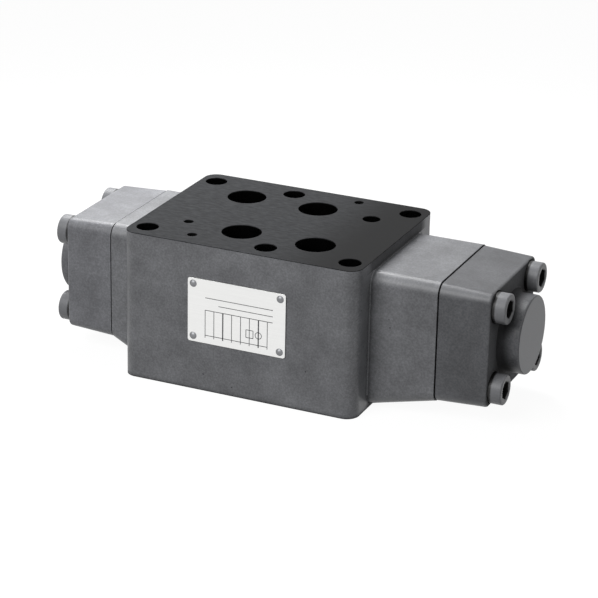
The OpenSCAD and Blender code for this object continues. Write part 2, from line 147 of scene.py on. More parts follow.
# Sand-cast grey iron, phosphated: a dull dark grey with fine grain, faint clouds and a few pits, painted shade
# where faces meet, and a painted highlight on rounded edges. The block's top and underside are ground and
# darker, with painted shade that grows to the right; the right wall above the neck carries painted shade; inside
# its outline only the bores show, painted black as shade. The end of a cover is darker than its sides, the foot
# of its boss and its spot faces carry painted shade, and the face of its boss is turned bright. Grain, grinding
# streaks and turning lines are drawn coarser than they are, so that they show.
castBody = {
    "cast": "#7e7f82", "castDark": "#6b6c6f", "grain": 1.2, "grainSpread": (0.38, 0.66), "grainHeight": 0.05,
    "cloudSize": 22, "cloudLow": 0.72, "cloudHigh": 1.3, "noiseSpread": (0.3, 0.7),
    "pit": "#2c2d2f", "pitSpacing": 11, "pitSize": 1.2, "pitShare": 0.4,
    "rough": (0.33, 0.42), "dull": 1.0, "gloss": 0.35, "edge": 0.5, "bumpShare": 0.8,
    # painted highlight on rounded edges: its tone, its strength and the slant over which it shows
    "highlightTone": "#b4b5b8", "highlightShare": 0.2, "highlightSlant": (0.1, 0.5),
    # dark colour for the painted shade in corners, on boss feet and in spot faces, and for the darker cover
    # ends; reach, opening and share of the painted corner shade
    "darkening": "#0a0a0b", "shadeReach": 5.0, "shadeOpen": (0.8, 0.4), "cornerShade": 0.95,
    # block: its outline, the ground faces, the painted shade on them, the bores painted black as shade and the
    # painted shade on the right wall
    "blockCentre": -11.9, "blockHalf": (75.5, 59.0), "blockEdge": 8.0, "blockHeight": 92.0,
    "ground": "#1b1c1e", "groundLight": "#37383a", "groundRim": 0.4, "streakLength": 6, "streakWidth": 2.2,
    # painted shade on the ground faces, growing to the right, and on the right wall above the neck
    "groundShade": "#030304", "shadeFrom": 0.0, "shadeTo": 48.0, "shadeShare": 0.95,
    # the bore colour is painted shade
    "bore": "#020202", "boreRough": 0.25, "boreInset": 0.6,
    # the wall keys place painted shade on the right wall above the neck
    "wallFrom": 62.0, "wallFoot": 85.6, "wallHalf": 46.0, "wallFade": 8.0, "wallShare": 0.7,
    # covers: the end face, the foot and the face of the boss, and the spot faces; the foot and the spot faces
    # carry painted shade
    "endFace": 135.0, "endShare": 0.65, "endFacing": (0.7, 0.95),
    "footFrom": 136.6, "footTo": 146.0, "footShare": 0.94,
    "boss": "#7e7f82", "bossDark": "#707174", "bossFace": 149.4, "bossRough": 0.45, "turningLine": 0.6,
    "axisHeight": 48.5, "screwHalf": (27.6, 25.0), "spotRadius": 9.7,
}
# cover tones are partly their own casting tone and partly painted light: the right one darker as painted shade,
# the left one a touch lighter as painted light; the painted highlight is stronger on the right cover and left
# off the left one
leftCast = {**castBody, "cast": "#808185", "castDark": "#6d6e72", "shadeReach": 13.0, "highlightShare": 0.0}
rightCast = {**castBody, "cast": "#626366", "castDark": "#525356", "shadeReach": 13.0, "highlightShare": 0.28}


def castIron(name, look, groundFaces):
    material, tree = emptyMaterial(name)
    coordinates = addNode(tree, "ShaderNodeTexCoord").outputs
    place = coordinates["Object"]
    split = addNode(tree, "ShaderNodeSeparateXYZ", {"Vector": place}).outputs
    facing = addNode(tree, "ShaderNodeSeparateXYZ", {"Vector": coordinates["Normal"]}).outputs
    fromMid = addNode(tree, "ShaderNodeMath", {0: split["X"]}, operation="ABSOLUTE").outputs[0]
    noiseLow, noiseHigh = look["noiseSpread"]
    grain = addNode(tree, "ShaderNodeTexNoise",
                    {"Vector": place, "Scale": 1 / (look["grain"] * mm), "Detail": 3.0, "Roughness": 0.6})
    cloud = addNode(tree, "ShaderNodeTexNoise",
                    {"Vector": place, "Scale": 1 / (look["cloudSize"] * mm), "Detail": 6.0, "Roughness": 0.72})
    cells = addNode(tree, "ShaderNodeTexVoronoi", {"Vector": place, "Scale": 1 / (look["pitSpacing"] * mm)})
    grainShare = addNode(tree, "ShaderNodeMapRange",
                         {"Value": grain.outputs[0], "From Min": look["grainSpread"][0],
                          "From Max": look["grainSpread"][1]})
    cloudShare = addNode(tree, "ShaderNodeMapRange",
                         {"Value": cloud.outputs[0], "From Min": noiseLow, "From Max": noiseHigh,
                          "To Min": look["cloudLow"], "To Max": look["cloudHigh"]})
    # a pit, full to half its radius, lies in the middle of some cells
    pitEdge = look["pitSize"] / 2 / look["pitSpacing"]
    pitSpot = addNode(tree, "ShaderNodeMapRange",
                      {"Value": cells.outputs["Distance"], "From Min": pitEdge, "From Max": pitEdge / 2})
    pitChoice = addNode(tree, "ShaderNodeSeparateColor", {"Color": cells.outputs["Color"]})
    pitKept = addNode(tree, "ShaderNodeMath", {0: pitChoice.outputs["Red"], 1: 1 - look["pitShare"]},
                      operation="GREATER_THAN")
    pit = addNode(tree, "ShaderNodeMath", {0: pitSpot.outputs["Result"], 1: pitKept.outputs[0]},
                  operation="MULTIPLY")
    speckle = addNode(tree, "ShaderNodeMix",
                      {"Factor": grainShare.outputs["Result"], "A": linearColour(look["castDark"]),
                       "B": linearColour(look["cast"])}, data_type="RGBA")
    clouded = addNode(tree, "ShaderNodeMix",
                      {"Factor": 1.0, "A": speckle.outputs["Result"], "B": cloudShare.outputs["Result"]},
                      data_type="RGBA", blend_type="MULTIPLY")
    colour = addNode(tree, "ShaderNodeMix",
                     {"Factor": pit.outputs[0], "A": clouded.outputs["Result"], "B": linearColour(look["pit"])},
                     data_type="RGBA").outputs["Result"]
    # painted highlight on the rounded edges of necks and covers, where the face turns from front to top, by |y|
    # * |z| of its direction; the sides of the bosses, further out, stay plain
    slant = addNode(tree, "ShaderNodeMath", {0: facing["Y"], 1: facing["Z"]}, operation="MULTIPLY")
    slant = addNode(tree, "ShaderNodeMath", {0: slant.outputs[0]}, operation="ABSOLUTE")
    paintedHighlight = addNode(tree, "ShaderNodeMapRange",
                  {"Value": slant.outputs[0], "From Min": look["highlightSlant"][0], "From Max": look["highlightSlant"][1],
                   "To Max": look["highlightShare"]})
    beforeBoss = addNode(tree, "ShaderNodeMath", {0: fromMid, 1: look["footFrom"] * mm}, operation="LESS_THAN")
    paintedHighlight = addNode(tree, "ShaderNodeMath", {0: paintedHighlight.outputs["Result"], 1: beforeBoss.outputs[0]},
                  operation="MULTIPLY")
    colour = addNode(tree, "ShaderNodeMix",
                     {"Factor": paintedHighlight.outputs[0], "A": colour, "B": linearColour(look["highlightTone"])},
                     data_type="RGBA").outputs["Result"]
    height = addNode(tree, "ShaderNodeMath", {0: grain.outputs[0], 1: pit.outputs[0]},
                     operation="SUBTRACT").outputs[0]
    roughness = addNode(tree, "ShaderNodeMapRange",
                        {"Value": grain.outputs[0], "From Min": noiseLow, "From Max": noiseHigh,
                         "To Min": look["rough"][0], "To Max": look["rough"][1]}).outputs["Result"]
    if groundFaces:
        middle = look["blockHeight"] / 2 * mm
        away = addNode(tree, "ShaderNodeMath", {0: split["Z"], 1: middle}, operation="SUBTRACT")
        away = addNode(tree, "ShaderNodeMath", {0: away.outputs[0]}, operation="ABSOLUTE")
        ground = addNode(tree, "ShaderNodeMath", {0: away.outputs[0], 1: middle - look["groundRim"] * mm},
                         operation="GREATER_THAN").outputs[0]
        streakPlace = addNode(tree, "ShaderNodeMapping",
                              {"Vector": place, "Scale": (1 / (look["streakLength"] * mm),
                                                          1 / (look["streakWidth"] * mm), 1)})
        streak = addNode(tree, "ShaderNodeTexNoise",
                         {"Vector": streakPlace.outputs["Vector"], "Scale": 1.0, "Detail": 5.0,
                          "Roughness": 0.7})
        streakShare = addNode(tree, "ShaderNodeMapRange",
                              {"Value": streak.outputs[0], "From Min": noiseLow, "From Max": noiseHigh})
        groundTone = addNode(tree, "ShaderNodeMix",
                             {"Factor": streakShare.outputs["Result"], "A": linearColour(look["ground"]),
                              "B": linearColour(look["groundLight"])}, data_type="RGBA")
        # painted shade that gets darker to the right
        shadeToRight = addNode(tree, "ShaderNodeMapRange",
                       {"Value": split["X"], "From Min": look["shadeFrom"] * mm, "From Max": look["shadeTo"] * mm,
                        "To Max": look["shadeShare"]}, interpolation_type="SMOOTHSTEP")
        groundTone = addNode(tree, "ShaderNodeMix",
                             {"Factor": shadeToRight.outputs["Result"], "A": groundTone.outputs["Result"],
                              "B": linearColour(look["groundShade"])}, data_type="RGBA")
        colour = addNode(tree, "ShaderNodeMix",
                         {"Factor": ground, "A": colour, "B": groundTone.outputs["Result"]},
                         data_type="RGBA").outputs["Result"]
        # inside the block's rounded outline, where length(max(|p| - (half - r), 0)) is less than r: a bore,
        # painted black as shade
        flat = addNode(tree, "ShaderNodeVectorMath",
                       {0: place, 1: (-look["blockCentre"] * mm, 0, 0)}, operation="ADD")
        flat = addNode(tree, "ShaderNodeVectorMath", {0: flat.outputs[0], 1: (1, 1, 0)}, operation="MULTIPLY")
        flat = addNode(tree, "ShaderNodeVectorMath", {0: flat.outputs[0]}, operation="ABSOLUTE")
        halves = [(half - look["blockEdge"]) * mm for half in look["blockHalf"]]
        flat = addNode(tree, "ShaderNodeVectorMath", {0: flat.outputs[0], 1: (halves[0], halves[1], 0)},
                       operation="SUBTRACT")
        flat = addNode(tree, "ShaderNodeVectorMath", {0: flat.outputs[0], 1: (0, 0, 0)}, operation="MAXIMUM")
        reach = addNode(tree, "ShaderNodeVectorMath", {0: flat.outputs[0]}, operation="LENGTH")
        inside = addNode(tree, "ShaderNodeMath",
                         {0: reach.outputs["Value"], 1: (look["blockEdge"] - look["boreInset"]) * mm},
                         operation="LESS_THAN")
        inBore = addNode(tree, "ShaderNodeMath", {0: inside.outputs[0], 1: ground}, operation="SUBTRACT")
        colour = addNode(tree, "ShaderNodeMix",
                         {"Factor": inBore.outputs[0], "A": colour, "B": linearColour(look["bore"])},
                         data_type="RGBA").outputs["Result"]
        # painted shade on the wall above the right neck
        side = addNode(tree, "ShaderNodeMath", {0: split["Y"]}, operation="ABSOLUTE")
        wall = addNode(tree, "ShaderNodeMath", {0: split["X"], 1: look["wallFrom"] * mm},
                       operation="GREATER_THAN")
        high = addNode(tree, "ShaderNodeMath", {0: split["Z"], 1: look["wallFoot"] * mm},
                       operation="GREATER_THAN")
        near = addNode(tree, "ShaderNodeMapRange",
                       {"Value": side.outputs[0], "From Min": look["wallHalf"] * mm,
                        "From Max": (look["wallHalf"] - look["wallFade"]) * mm, "To Max": look["wallShare"]})
        wall = addNode(tree, "ShaderNodeMath", {0: wall.outputs[0], 1: high.outputs[0]}, operation="MULTIPLY")
        wall = addNode(tree, "ShaderNodeMath", {0: wall.outputs[0], 1: near.outputs["Result"]},
                       operation="MULTIPLY")
        colour = addNode(tree, "ShaderNodeMix",
                         {"Factor": wall.outputs[0], "A": colour, "B": linearColour(look["groundShade"])},
                         data_type="RGBA").outputs["Result"]
        # bores are smooth, ground faces and the shaded wall dull
        roughness = addNode(tree, "ShaderNodeMix",
                            {"Factor": inBore.outputs[0], "A": roughness,
                             "B": look["boreRough"]}).outputs["Result"]
        dull = addNode(tree, "ShaderNodeMath", {0: ground, 1: wall.outputs[0]}, operation="MAXIMUM")
        roughness = addNode(tree, "ShaderNodeMix",
                            {"Factor": dull.outputs[0], "A": roughness, "B": look["dull"]}).outputs["Result"]
        smoothed = ground
    else:
        # end face: faces along X, between the rim of the cover and the face of the boss
        endways = addNode(tree, "ShaderNodeMath", {0: facing["X"]}, operation="ABSOLUTE")
        endways = addNode(tree, "ShaderNodeMapRange",
                          {"Value": endways.outputs[0], "From Min": look["endFacing"][0],
                           "From Max": look["endFacing"][1]})
        onEnd = addNode(tree, "ShaderNodeMath", {0: fromMid, 1: look["endFace"] * mm}, operation="GREATER_THAN")
        onEnd = addNode(tree, "ShaderNodeMath", {0: onEnd.outputs[0], 1: endways.outputs["Result"]},
                        operation="MULTIPLY")
        onEnd = addNode(tree, "ShaderNodeMath", {0: onEnd.outputs[0], 1: look["endShare"]},
                        operation="MULTIPLY")
        colour = addNode(tree, "ShaderNodeMix",
                         {"Factor": onEnd.outputs[0], "A": colour, "B": linearColour(look["darkening"])},
                         data_type="RGBA").outputs["Result"]
        # painted shade on the foot of the boss, fading towards its face; foot and end face are dull
        foot = addNode(tree, "ShaderNodeMapRange",
                       {"Value": fromMid, "From Min": look["footTo"] * mm, "From Max": look["footFrom"] * mm,
                        "To Max": look["footShare"]})
        onFoot = addNode(tree, "ShaderNodeMath", {0: fromMid, 1: look["footFrom"] * mm},
                         operation="GREATER_THAN")
        foot = addNode(tree, "ShaderNodeMath", {0: foot.outputs["Result"], 1: onFoot.outputs[0]},
                       operation="MULTIPLY")
        colour = addNode(tree, "ShaderNodeMix",
                         {"Factor": foot.outputs[0], "A": colour, "B": linearColour(look["darkening"])},
                         data_type="RGBA").outputs["Result"]
        dull = addNode(tree, "ShaderNodeMath", {0: foot.outputs[0], 1: onEnd.outputs[0]}, operation="MAXIMUM")
        roughness = addNode(tree, "ShaderNodeMix",
                            {"Factor": dull.outputs[0], "A": roughness, "B": look["dull"]}).outputs["Result"]
        # painted shade in the spot faces: within their radius of a screw axis
        fromBore = addNode(tree, "ShaderNodeVectorMath", {0: place, 1: (0, 0, look["axisHeight"] * mm)},
                           operation="SUBTRACT")
        fromScrew = addNode(tree, "ShaderNodeVectorMath", {0: fromBore.outputs[0]}, operation="ABSOLUTE")
        screwPlace = (0, look["screwHalf"][0] * mm, look["screwHalf"][1] * mm)
        fromScrew = addNode(tree, "ShaderNodeVectorMath", {0: fromScrew.outputs[0], 1: screwPlace},
                            operation="SUBTRACT")
        fromScrew = addNode(tree, "ShaderNodeVectorMath", {0: fromScrew.outputs[0], 1: (0, 1, 1)},
                            operation="MULTIPLY")
        fromScrew = addNode(tree, "ShaderNodeVectorMath", {0: fromScrew.outputs[0]}, operation="LENGTH")
        inSpot = addNode(tree, "ShaderNodeMath", {0: fromScrew.outputs["Value"], 1: look["spotRadius"] * mm},
                         operation="LESS_THAN")
        colour = addNode(tree, "ShaderNodeMix",
                         {"Factor": inSpot.outputs[0], "A": colour, "B": linearColour(look["darkening"])},
                         data_type="RGBA").outputs["Result"]
        # turning lines on the boss: noise that only depends on the distance from the bore axis
        fromAxis = addNode(tree, "ShaderNodeVectorMath", {0: fromBore.outputs[0], 1: (0, 1, 1)},
                           operation="MULTIPLY")
        fromAxis = addNode(tree, "ShaderNodeVectorMath", {0: fromAxis.outputs[0]}, operation="LENGTH")
        lines = addNode(tree, "ShaderNodeTexNoise",
                        {"W": fromAxis.outputs["Value"], "Scale": 1 / (look["turningLine"] * mm),
                         "Detail": 2.0}, noise_dimensions="1D")
        bossTone = addNode(tree, "ShaderNodeMix",
                           {"Factor": lines.outputs[0], "A": linearColour(look["bossDark"]),
                            "B": linearColour(look["boss"])}, data_type="RGBA")
        onBoss = addNode(tree, "ShaderNodeMath", {0: fromMid, 1: look["bossFace"] * mm},
                         operation="GREATER_THAN").outputs[0]
        colour = addNode(tree, "ShaderNodeMix",
                         {"Factor": onBoss, "A": colour, "B": bossTone.outputs["Result"]},
                         data_type="RGBA").outputs["Result"]
        roughness = addNode(tree, "ShaderNodeMix",
                            {"Factor": onBoss, "A": roughness, "B": look["bossRough"]}).outputs["Result"]
        smoothed = onBoss
    # machined faces have no grain
    asCast = addNode(tree, "ShaderNodeMath", {0: 1.0, 1: smoothed}, operation="SUBTRACT")
    height = addNode(tree, "ShaderNodeMath", {0: height, 1: asCast.outputs[0]}, operation="MULTIPLY")
    # painted shade in the corners: as dark and dull as the near faces close in
    corner = addNode(tree, "ShaderNodeAmbientOcclusion", {"Distance": look["shadeReach"] * mm}, samples=8)
    darkening = addNode(tree, "ShaderNodeMapRange",
                  {"Value": corner.outputs["AO"], "From Min": look["shadeOpen"][0], "From Max": look["shadeOpen"][1],
                   "To Max": look["cornerShade"]})
    colour = addNode(tree, "ShaderNodeMix",
                     {"Factor": darkening.outputs["Result"], "A": colour, "B": linearColour(look["darkening"])},
                     data_type="RGBA").outputs["Result"]
    roughness = addNode(tree, "ShaderNodeMix",
                        {"Factor": darkening.outputs["Result"], "A": roughness, "B": look["dull"]}).outputs["Result"]
    rounded = addNode(tree, "ShaderNodeBevel", {"Radius": look["edge"] * mm}, samples=6)
    bump = addNode(tree, "ShaderNodeBump",
                   {"Strength": look["bumpShare"], "Distance": look["grainHeight"] * mm,
                    "Height": height.outputs[0], "Normal": rounded.outputs["Normal"]})
    shader = addNode(tree, "ShaderNodeBsdfPrincipled",
                     {"Base Color": colour, "Roughness": roughness, "Specular IOR Level": look["gloss"],
                      "Normal": bump.outputs["Normal"]})
    addNode(tree, "ShaderNodeOutputMaterial", {"Surface": shader.outputs["BSDF"]})
    return material


# Phosphated steel: a dull grey crust of fine crystals with a soft gloss, drawn coarser than they are so that
# they show; the sockets and the foot of each head are painted dark as shade, and the head faces half as much.
screwFinish = {"steel": "#87888b", "steelDark": "#707174", "socket": "#080808", "crystal": 1.2,
               "roughness": 0.42, "roughSpread": 0.08, "gloss": 0.35}


def phosphatedSteel(name, look):
    material, tree = emptyMaterial(name)
    place = addNode(tree, "ShaderNodeTexCoord").outputs["Object"]
    crystal = addNode(tree, "ShaderNodeTexNoise",
                      {"Vector": place, "Scale": 1 / (look["crystal"] * mm), "Detail": 3.0})
    # the attribute carries painted shade for the sockets, the foot of the heads and the head faces
    darkening = addNode(tree, "ShaderNodeAttribute", attribute_name="paintedShade").outputs["Fac"]
    steel = addNode(tree, "ShaderNodeMix",
                    {"Factor": crystal.outputs[0], "A": linearColour(look["steelDark"]),
                     "B": linearColour(look["steel"])}, data_type="RGBA")
    colour = addNode(tree, "ShaderNodeMix",
                     {"Factor": darkening, "A": steel.outputs["Result"], "B": linearColour(look["socket"])},
                     data_type="RGBA")
    roughness = addNode(tree, "ShaderNodeMapRange",
                        {"Value": crystal.outputs[0], "To Min": look["roughness"] - look["roughSpread"],
                         "To Max": look["roughness"] + look["roughSpread"]})
    shader = addNode(tree, "ShaderNodeBsdfPrincipled",
                     {"Base Color": colour.outputs["Result"], "Specular IOR Level": look["gloss"],
                      "Roughness": roughness.outputs["Result"]})
    addNode(tree, "ShaderNodeOutputMaterial", {"Surface": shader.outputs["BSDF"]})
    return material


# Ground and hardened steel: bright, with fine turning lines round the bore axis, a line every 0.5 mm.
groundSteel = {"light": "#c4c5c8", "dark": "#a9aaad", "line": 0.5, "lineLength": 50, "lineHeight": 0.01,
               "bumpShare": 0.3, "roughness": 0.24, "roughSpread": 0.05}
# Oil-tempered spring wire: darker, smooth, with faint drawing marks.
springWire = {**groundSteel, "light": "#77787c", "dark": "#5f6064", "line": 1.5, "roughness": 0.34}


def turnedSteel(name, look):
    material, tree = emptyMaterial(name)
    place = addNode(tree, "ShaderNodeTexCoord").outputs["Object"]
    acrossScale = 1 / (look["lineLength"] * mm)
    along = addNode(tree, "ShaderNodeMapping",
                    {"Vector": place, "Scale": (1 / (look["line"] * mm), acrossScale, acrossScale)})
    lines = addNode(tree, "ShaderNodeTexNoise",
                    {"Vector": along.outputs["Vector"], "Scale": 1.0, "Detail": 2.0})
    colour = addNode(tree, "ShaderNodeMix",
                     {"Factor": lines.outputs[0], "A": linearColour(look["dark"]),
                      "B": linearColour(look["light"])}, data_type="RGBA")
    bump = addNode(tree, "ShaderNodeBump",
                   {"Strength": look["bumpShare"], "Distance": look["lineHeight"] * mm,
                    "Height": lines.outputs[0]})
    roughness = addNode(tree, "ShaderNodeMapRange",
                        {"Value": lines.outputs[0], "To Min": look["roughness"] - look["roughSpread"],
                         "To Max": look["roughness"] + look["roughSpread"]})
    shader = addNode(tree, "ShaderNodeBsdfPrincipled",
                     {"Base Color": colour.outputs["Result"], "Metallic": 1.0,
                      "Roughness": roughness.outputs["Result"], "Normal": bump.outputs["Normal"]})
    addNode(tree, "ShaderNodeOutputMaterial", {"Surface": shader.outputs["BSDF"]})
    return material


# Moulded nitrile rubber: near black, matt, with a dusty bloom in soft clouds.
nitrile = {"black": "#141516", "bloom": "#242527", "cloud": 3.0, "roughness": 0.52, "roughSpread": 0.1,
           "gloss": 0.4}


def mouldedRubber(name, look):
    material, tree = emptyMaterial(name)
    place = addNode(tree, "ShaderNodeTexCoord").outputs["Object"]
    cloud = addNode(tree, "ShaderNodeTexNoise",
                    {"Vector": place, "Scale": 1 / (look["cloud"] * mm), "Detail": 4.0})
    colour = addNode(tree, "ShaderNodeMix",
                     {"Factor": cloud.outputs[0], "A": linearColour(look["black"]),
                      "B": linearColour(look["bloom"])}, data_type="RGBA")
    roughness = addNode(tree, "ShaderNodeMapRange",
                        {"Value": cloud.outputs[0], "To Min": look["roughness"] - look["roughSpread"],
                         "To Max": look["roughness"] + look["roughSpread"]})
    shader = addNode(tree, "ShaderNodeBsdfPrincipled",
                     {"Base Color": colour.outputs["Result"], "Roughness": roughness.outputs["Result"],
                      "Specular IOR Level": look["gloss"]})
    addNode(tree, "ShaderNodeOutputMaterial", {"Surface": shader.outputs["BSDF"]})
    return material


# Satin anodised aluminium sheet: almost white, with fine rolling lines along the plate.
plateSheet = {"light": "#eaeae9", "dark": "#dfdfde", "lineLength": 30, "lineWidth": 0.4, "roughness": 0.36,
              "roughSpread": 0.06, "edge": 0.15}
# Drawn aluminium of the drive rivets: greyer and a little rougher.
rivetWire = {**plateSheet, "light": "#8c8d8f", "dark": "#747578", "lineLength": 1.2, "lineWidth": 1.2,
             "roughness": 0.42}


def satinAluminium(name, look):
    material, tree = emptyMaterial(name)
    place = addNode(tree, "ShaderNodeTexCoord").outputs["Object"]
    acrossScale = 1 / (look["lineWidth"] * mm)
    along = addNode(tree, "ShaderNodeMapping",
                    {"Vector": place, "Scale": (1 / (look["lineLength"] * mm), acrossScale, acrossScale)})
    lines = addNode(tree, "ShaderNodeTexNoise",
                    {"Vector": along.outputs["Vector"], "Scale": 1.0, "Detail": 3.0})
    colour = addNode(tree, "ShaderNodeMix",
                     {"Factor": lines.outputs[0], "A": linearColour(look["dark"]),
                      "B": linearColour(look["light"])}, data_type="RGBA")
    roughness = addNode(tree, "ShaderNodeMapRange",
                        {"Value": lines.outputs[0], "To Min": look["roughness"] - look["roughSpread"],
                         "To Max": look["roughness"] + look["roughSpread"]})
    rounded = addNode(tree, "ShaderNodeBevel", {"Radius": look["edge"] * mm}, samples=4)
    shader = addNode(tree, "ShaderNodeBsdfPrincipled",
                     {"Base Color": colour.outputs["Result"], "Metallic": 1.0,
                      "Roughness": roughness.outputs["Result"], "Normal": rounded.outputs["Normal"]})
    addNode(tree, "ShaderNodeOutputMaterial", {"Surface": shader.outputs["BSDF"]})
    return material


# Screen-printed ink: flat dark grey, a little uneven where the squeegee left it thin.
ink = {"full": "#3b3c3f", "thin": "#55565a", "patch": 1.0, "roughness": 0.6, "gloss": 0.3}


def printedInk(name, look):
    material, tree = emptyMaterial(name)
    place = addNode(tree, "ShaderNodeTexCoord").outputs["Object"]
    patch = addNode(tree, "ShaderNodeTexNoise",
                    {"Vector": place, "Scale": 1 / (look["patch"] * mm), "Detail": 3.0})
    colour = addNode(tree, "ShaderNodeMix",
                     {"Factor": patch.outputs[0], "A": linearColour(look["full"]),
                      "B": linearColour(look["thin"])}, data_type="RGBA")
    shader = addNode(tree, "ShaderNodeBsdfPrincipled",
                     {"Base Color": colour.outputs["Result"], "Roughness": look["roughness"],
                      "Specular IOR Level": look["gloss"]})
    addNode(tree, "ShaderNodeOutputMaterial", {"Surface": shader.outputs["BSDF"]})
    return material


finishes = {
    "body": castIron("sandCastIron", castBody, True),
    "leftCover": castIron("castLeftCoverIron", leftCast, False),
    "rightCover": castIron("castRightCoverIron", rightCast, False),
    "screw": phosphatedSteel("phosphatedScrewSteel", screwFinish),
    "hard": turnedSteel("groundHardSteel", groundSteel),
    "wire": turnedSteel("temperedSpringWire", springWire),
    "rubber": mouldedRubber("mouldedNitrile", nitrile),
    "plate": satinAluminium("satinAluminiumSheet", plateSheet),
    "rivet": satinAluminium("drawnAluminium", rivetWire),
    "ink": printedInk("screenPrintedInk", ink),
}
finishOfNode = {
    "valve_body": "body", "left_cover": "leftCover", "right_cover": "rightCover", "nameplate": "plate",
    "nameplate_rivets": "rivet", "pilot_piston": "hard", "left_seat": "hard", "right_seat": "hard",
    "left_poppet": "hard", "right_poppet": "hard", "left_spring": "wire", "right_spring": "wire",
    "left_cover_screws": "screw", "right_cover_screws": "screw",
}
for nodeName, nodeObject in nodes.items():
    finish = finishes[finishOfNode.get(nodeName, "rubber")]
    for materialSlot in nodeObject.material_slots:
        materialSlot.material = finish
print("materials made:", len(finishes))

# printed table on the plate: blank ruled fields, a small square and a ring
plateTable = {
    "columns": (11.4, 17.1, 22.9, 28.6, 34.4, 40.1, 45.9, 51.6), "tableEnd": 55.0,  # mm from the left edge
    "tableTop": 21.0, "tableFoot": 5.1, "columnFoot": 3.6,  # mm above the lower edge
    "fieldRules": ((20.0, 24.8, 55.0), (11.4, 28.8, 55.0)),  # from, height, to
    "thin": 0.4, "thick": 0.75, "thickColumns": (2, 6),
    "square": (37.9, 8.8, 42.5, 13.6), "ring": (45.9, 11.2, 2.0),
    "sink": 0.02, "proud": 0.03,
}


# boxes along straight lines: each line's two ends, moved half a width to both sides, in two heights
def ruleBoxes(lines, origin, face, sink, proud):
    ends = np.array([line[:4] for line in lines], float).reshape(-1, 2, 2)
    widths = np.array([line[4] for line in lines], float)[:, None]
    way = ends[:, 1] - ends[:, 0]
    way = way / np.linalg.norm(way, axis=1, keepdims=True)
    side = np.stack([-way[:, 1], way[:, 0]], 1) * widths / 2
    outline = np.stack([ends[:, 0] - side, ends[:, 1] - side, ends[:, 1] + side, ends[:, 0] + side], 1)
    corners = np.zeros((len(lines), 2, 4, 3))
    corners[..., 0] = origin[0] + outline[:, None, :, 0]
    corners[..., 2] = origin[1] + outline[:, None, :, 1]
    corners[:, 0, :, 1] = face + sink
    corners[:, 1, :, 1] = face - proud
    box = np.array([[3, 2, 1, 0], [4, 5, 6, 7], [0, 1, 5, 4], [1, 2, 6, 5], [2, 3, 7, 6], [3, 0, 4, 7]])
    quads = box[None] + 8 * np.arange(len(lines))[:, None, None]
    return corners.reshape(-1, 3) * mm, quads.reshape(-1, 4)


# flat ring: a four-cornered section carried round a circle in the plane of the plate
def flatRing(centre, radius, width, face, sink, proud, steps=48):
    angle = np.linspace(0, 2 * np.pi, steps, endpoint=False)[:, None]
    reach = radius + np.array([-1, 1, 1, -1]) * width / 2
    points = np.zeros((steps, 4, 3))
    points[..., 0] = centre[0] + reach * np.cos(angle)
    points[..., 1] = face + np.array([sink, sink, -proud, -proud])
    points[..., 2] = centre[1] + reach * np.sin(angle)
    return points.reshape(-1, 3) * mm, gridQuads(steps, 4, True, True)


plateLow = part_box("nameplate")[0]
plateOrigin = (plateLow[0] / mm, plateLow[2] / mm)
inkLevels = (plateLow[1] / mm, plateTable["sink"], plateTable["proud"])
columns, thin = plateTable["columns"], plateTable["thin"]
tableTop, tableFoot = plateTable["tableTop"], plateTable["tableFoot"]
tableLines = [(column, plateTable["columnFoot"], column, tableTop,
               plateTable["thick"] if number in plateTable["thickColumns"] else thin)
              for number, column in enumerate(columns)]
tableLines += [(columns[0], tableTop, plateTable["tableEnd"], tableTop, thin),
               (columns[0], tableFoot, columns[-1], tableFoot, thin)]
tableLines += [(start, level, end, level, thin) for start, level, end in plateTable["fieldRules"]]
squareLeft, squareFoot, squareRight, squareTop = plateTable["square"]
tableLines += [(squareLeft, squareFoot, squareRight, squareFoot, thin),
               (squareLeft, squareTop, squareRight, squareTop, thin),
               (squareLeft, squareFoot, squareLeft, squareTop, thin),
               (squareRight, squareFoot, squareRight, squareTop, thin)]
rulePoints, ruleQuads = ruleBoxes(tableLines, plateOrigin, *inkLevels)
ringAcross, ringUp, ringRadius = plateTable["ring"]
ringCentre = (plateOrigin[0] + ringAcross, plateOrigin[1] + ringUp)
ringPoints, ringQuads = flatRing(ringCentre, ringRadius, thin, *inkLevels)
printPoints = np.concatenate([rulePoints, ringPoints])
printQuads = np.concatenate([ruleQuads, ringQuads + len(rulePoints)])
platePrint = meshPiece("nameplate_print", printPoints, printQuads, finishes["ink"])
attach(platePrint, "housing")
print("plate print:", len(tableLines), "rules")

# socket head cap screws, eight of them, in the places of the CAD screws
capScrew = {
    "acrossHalf": 27.6, "upHalf": 25.0, "axisHeight": 48.5, "seat": 132.5,
    "shank": 6.0, "length": 50.0, "tipBevel": 0.8, "pitch": 1.75, "threadDepth": 0.95, "threadLength": 30.0,
    "neckRound": 0.6, "head": 9.0, "headHeight": 12.0, "headRound": 0.9, "bearing": 8.5,
    "socket": 5.0, "socketDepth": 6.0, "socketMouth": 5.95, "mouthDepth": 0.45, "drillPoint": 1.0,
    "bearingBevel": 0.4, "drillShare": 0.8,
    "sunk": 5.3, "shadeRise": 0.8, "faceShade": 0.5, "offShank": 1.0, "slack": 0.05,  # where painted shade lies
    "columns": 72, "rowsPerTurn": 6, "fadeRows": 6, "roundRows": 6,
}


